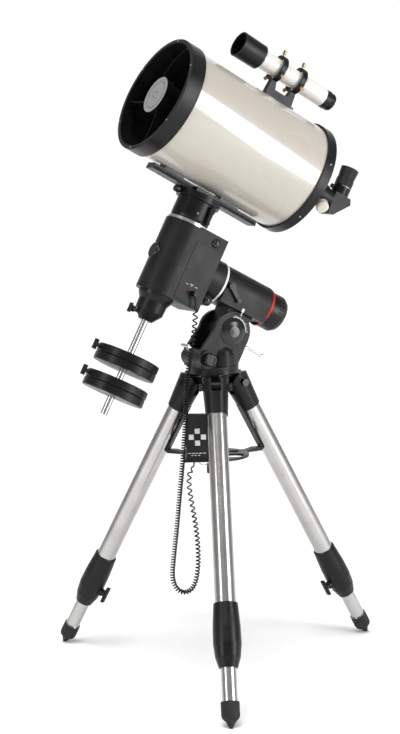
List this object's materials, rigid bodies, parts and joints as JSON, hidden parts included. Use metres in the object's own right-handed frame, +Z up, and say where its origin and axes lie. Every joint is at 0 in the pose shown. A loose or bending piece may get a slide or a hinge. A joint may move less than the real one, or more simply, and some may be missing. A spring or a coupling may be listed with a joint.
{
  "type": "telescope on tripod",
  "caption": "Open-front reflecting telescope with finder on an equatorial mount with counterweights, motor housing and hand controller, standing on a three-leg steel tripod.",
  "frame": {"origin": "middle of the footprint of the whole object's box, on the floor", "axes": "+Z up, -Y towards the side with the front leg and the electronics cover"},
  "size_m": [0.8667, 0.7751, 1.6471],
  "materials": {
    "steel": "bright drawn steel tube",
    "chrome": "polished chrome",
    "black_casting": "satin black paint on cast aluminium",
    "black_iron": "satin black paint on cast iron",
    "grey_casting": "fine-textured charcoal paint on cast aluminium",
    "black_plastic": "moulded black plastic",
    "cream_tube": "glossy cream-white paint",
    "silver": "machined aluminium",
    "mirror": "aluminised glass",
    "white_key": "white keys",
    "white_cap": "glossy cream plastic",
    "zinc": "zinc-plated steel"
  },
  "bodies": {
    "tripod": {"tripod_hub": "black_casting", "leg_pins": "zinc", "center_rod": "zinc"},
    "leg_front": {"leg_sleeve_front": "black_casting", "leg_tube_front": "steel", "leg_clamp_front": "black_casting"},
    "leg_knob_front": {"leg_knob_front": "black_plastic"},
    "lower_leg_front": {"lower_leg_front": "steel"},
    "leg_left": {"leg_sleeve_left": "black_casting", "leg_tube_left": "steel", "leg_clamp_left": "black_casting"},
    "leg_knob_left": {"leg_knob_left": "black_plastic"},
    "lower_leg_left": {"lower_leg_left": "steel"},
    "leg_right": {"leg_sleeve_right": "black_casting", "leg_tube_right": "steel", "leg_clamp_right": "black_casting"},
    "leg_knob_right": {"leg_knob_right": "black_plastic"},
    "lower_leg_right": {"lower_leg_right": "steel"},
    "tray": {"spreader_tray": "black_casting", "handset_case": "black_plastic", "handset_cord": "black_plastic"},
    "tray_knob": {"tray_knob": "black_plastic"},
    "key_up": {"key_up": "white_key"},
    "key_down": {"key_down": "white_key"},
    "key_left": {"key_left": "white_key"},
    "key_right": {"key_right": "white_key"},
    "azimuth": {"azimuth_base": "grey_casting", "pivot_caps": "black_casting"},
    "azimuth_knobs": {"azimuth_knobs": "black_plastic"},
    "altitude_bolt_front": {"altitude_bolt_front": "zinc"},
    "altitude_bolt_rear": {"altitude_bolt_rear": "zinc"},
    "polar": {"ra_housing": "grey_casting"},
    "polar_cap": {"polar_cap": "black_plastic"},
    "ra_lever": {"ra_lever": "black_plastic"},
    "dec_body": {"dec_housing": "grey_casting", "dec_cover": "grey_casting", "dec_end_cap": "black_casting", "cord_plug": "black_plastic"},
    "front_cap": {"front_cap": "black_plastic"},
    "shaft": {"counter_shaft": "chrome"},
    "weight_upper": {"weight_upper": "black_iron"},
    "weight_lower": {"weight_lower": "black_iron"},
    "dec_head": {"dec_head": "black_casting", "saddle": "black_casting"},
    "dec_scale_ring": {"dec_scale_ring": "silver"},
    "dec_lever": {"dec_lever": "black_plastic"},
    "saddle_knob": {"saddle_knob": "black_plastic"},
    "ota": {"dovetail_bar": "black_casting", "optical_tube": "cream_tube", "front_ring": "black_casting", "rear_cell": "black_casting", "primary_mirror": "mirror", "spider": "black_casting", "focuser": "black_casting", "finder_tube": "cream_tube", "finder_ends": "black_plastic", "finder_bracket": "black_casting"},
    "focus_knob": {"focus_knob": "white_cap"},
    "diagonal": {"diagonal": "black_casting"},
    "eyepiece": {"eyepiece": "black_plastic"}
  },
  "joints": [
    {"name": "tray_drop", "type": "slide", "parent": "tripod", "child": "tray", "axis": [0, 0, 1], "range_m": [-0.2, 0]},
    {"name": "leg_fold_front", "type": "hinge", "parent": "tripod", "child": "leg_front", "pos_m": [0.01401, 0.03857, 0.75], "axis": [0.999, 0.0454, 0], "range_deg": [0, 14]},
    {"name": "lower_leg_slide_front", "type": "slide", "parent": "leg_front", "child": "lower_leg_front", "axis": [0.0222, -0.4881, -0.8725], "range_m": [0, 0.3]},
    {"name": "leg_knob_turn_front", "type": "hinge", "parent": "leg_front", "child": "leg_knob_front", "pos_m": [0.02869, -0.28484, 0.17188], "axis": [-0.0396, 0.8716, -0.4886], "range_deg": [-90, 90]},
    {"name": "leg_fold_left", "type": "hinge", "parent": "tripod", "child": "leg_left", "pos_m": [-0.05197, 0.14174, 0.75], "axis": [-0.4602, -0.8878, 0], "range_deg": [0, 14]},
    {"name": "lower_leg_slide_left", "type": "slide", "parent": "leg_left", "child": "lower_leg_left", "axis": [-0.4338, 0.2249, -0.8725], "range_m": [0, 0.3]},
    {"name": "leg_knob_turn_left", "type": "hinge", "parent": "leg_left", "child": "leg_knob_left", "pos_m": [-0.33939, 0.29072, 0.17188], "axis": [0.7746, -0.4015, -0.4886], "range_deg": [-90, 90]},
    {"name": "leg_fold_right", "type": "hinge", "parent": "tripod", "child": "leg_right", "pos_m": [0.07036, 0.14729, 0.75], "axis": [-0.5388, 0.8425, 0], "range_deg": [0, 14]},
    {"name": "lower_leg_slide_right", "type": "slide", "parent": "leg_right", "child": "lower_leg_right", "axis": [0.4116, 0.2632, -0.8725], "range_m": [0, 0.3]},
    {"name": "leg_knob_turn_right", "type": "hinge", "parent": "leg_right", "child": "leg_knob_right", "pos_m": [0.3431, 0.32172, 0.17188], "axis": [-0.735, -0.4701, -0.4886], "range_deg": [-90, 90]},
    {"name": "tray_knob_turn", "type": "hinge", "parent": "tray", "child": "tray_knob", "pos_m": [0.0108, 0.1092, 0], "axis": [0, 0, 1], "continuous": true},
    {"name": "key_press_up", "type": "slide", "parent": "tray", "child": "key_up", "axis": [0, 1, 0], "range_m": [0, 0.0015], "stiffness_N_per_m": 300},
    {"name": "key_press_down", "type": "slide", "parent": "tray", "child": "key_down", "axis": [0, 1, 0], "range_m": [0, 0.0015], "stiffness_N_per_m": 300},
    {"name": "key_press_left", "type": "slide", "parent": "tray", "child": "key_left", "axis": [0, 1, 0], "range_m": [0, 0.0015], "stiffness_N_per_m": 300},
    {"name": "key_press_right", "type": "slide", "parent": "tray", "child": "key_right", "axis": [0, 1, 0], "range_m": [0, 0.0015], "stiffness_N_per_m": 300},
    {"name": "azimuth_turn", "type": "hinge", "parent": "tripod", "child": "azimuth", "pos_m": [0.0108, 0.1092, 0], "axis": [0, 0, 1], "range_deg": [-10, 10]},
    {"name": "azimuth_knob_turn", "type": "hinge", "parent": "azimuth", "child": "azimuth_knobs", "pos_m": [-0.02741, 0.08948, 0.821], "axis": [0.4586, -0.8886, 0], "continuous": true},
    {"name": "altitude_bolt_front_turn", "type": "hinge", "parent": "azimuth", "child": "altitude_bolt_front", "pos_m": [-0.03719, 0.08443, 0.838], "axis": [-0.7367, -0.3802, 0.5592], "continuous": true},
    {"name": "altitude_bolt_rear_turn", "type": "hinge", "parent": "azimuth", "child": "altitude_bolt_rear", "pos_m": [0.04634, 0.12755, 0.836], "axis": [0.8886, 0.4586, 0], "range_deg": [-60, 60]},
    {"name": "altitude_tilt", "type": "hinge", "parent": "azimuth", "child": "polar", "pos_m": [0.03924, 0.12388, 0.887], "axis": [-0.4586, 0.8886, 0], "range_deg": [-10, 20]},
    {"name": "polar_cap_pull", "type": "slide", "parent": "polar", "child": "polar_cap", "axis": [0.7846, 0.405, -0.4695], "range_m": [0, 0.04]},
    {"name": "ra_lever_turn", "type": "hinge", "parent": "polar", "child": "ra_lever", "pos_m": [0.03517, 0.12178, 1.00488], "axis": [0.4586, -0.8886, 0], "range_deg": [-20, 35]},
    {"name": "polar_turn", "type": "hinge", "parent": "polar", "child": "dec_body", "pos_m": [-0.08963, 0.05736, 1.07729], "axis": [-0.7846, -0.405, 0.4695], "range_deg": [-100, 100], "deforming": ["handset_cord"]},
    {"name": "front_cap_pull", "type": "slide", "parent": "dec_body", "child": "front_cap", "axis": [-0.7846, -0.405, 0.4695], "range_m": [0, 0.03]},
    {"name": "shaft_slide", "type": "slide", "parent": "dec_body", "child": "shaft", "axis": [0.4172, 0.2153, 0.8829], "range_m": [0, 0.045]},
    {"name": "weight_upper_slide", "type": "slide", "parent": "shaft", "child": "weight_upper", "axis": [0.4172, 0.2153, 0.8829], "range_m": [-0.02, 0.04]},
    {"name": "weight_lower_slide", "type": "slide", "parent": "shaft", "child": "weight_lower", "axis": [0.4172, 0.2153, 0.8829], "range_m": [-0.04, 0.02]},
    {"name": "dec_turn", "type": "hinge", "parent": "dec_body", "child": "dec_head", "pos_m": [-0.08963, 0.05736, 1.07729], "axis": [0.4172, 0.2153, 0.8829], "continuous": true},
    {"name": "dec_scale_turn", "type": "hinge", "parent": "dec_body", "child": "dec_scale_ring", "pos_m": [-0.08963, 0.05736, 1.07729], "axis": [0.4172, 0.2153, 0.8829], "continuous": true},
    {"name": "dec_lever_turn", "type": "hinge", "parent": "dec_head", "child": "dec_lever", "pos_m": [0.00902, 0.05688, 1.19842], "axis": [0.7381, -0.6471, -0.191], "range_deg": [-30, 30]},
    {"name": "saddle_knob_turn", "type": "hinge", "parent": "dec_head", "child": "saddle_knob", "pos_m": [-0.05991, 0.0702, 1.24869], "axis": [-0.7643, -0.4426, 0.469], "continuous": true},
    {"name": "dovetail_slide", "type": "slide", "parent": "dec_head", "child": "ota", "axis": [-0.7643, -0.4426, 0.469], "range_m": [-0.03, 0.03]},
    {"name": "focus_turn", "type": "hinge", "parent": "ota", "child": "focus_knob", "pos_m": [0.30101, 0.24845, 1.21615], "axis": [0.1086, -0.8052, -0.5829], "continuous": true},
    {"name": "diagonal_turn", "type": "hinge", "parent": "ota", "child": "diagonal", "pos_m": [0.05472, 0.13187, 1.38279], "axis": [-0.7643, -0.4426, 0.469], "range_deg": [-90, 90]},
    {"name": "eyepiece_pull", "type": "slide", "parent": "diagonal", "child": "eyepiece", "axis": [0.4172, 0.2153, 0.8829], "range_m": [0, 0.04]}
  ],
  "couplings": [
    {"joint": "leg_fold_front", "follows": "tray_drop", "rad_per_m": -1.2217},
    {"joint": "leg_fold_left", "follows": "tray_drop", "rad_per_m": -1.2217},
    {"joint": "leg_fold_right", "follows": "tray_drop", "rad_per_m": -1.2217}
  ]
}
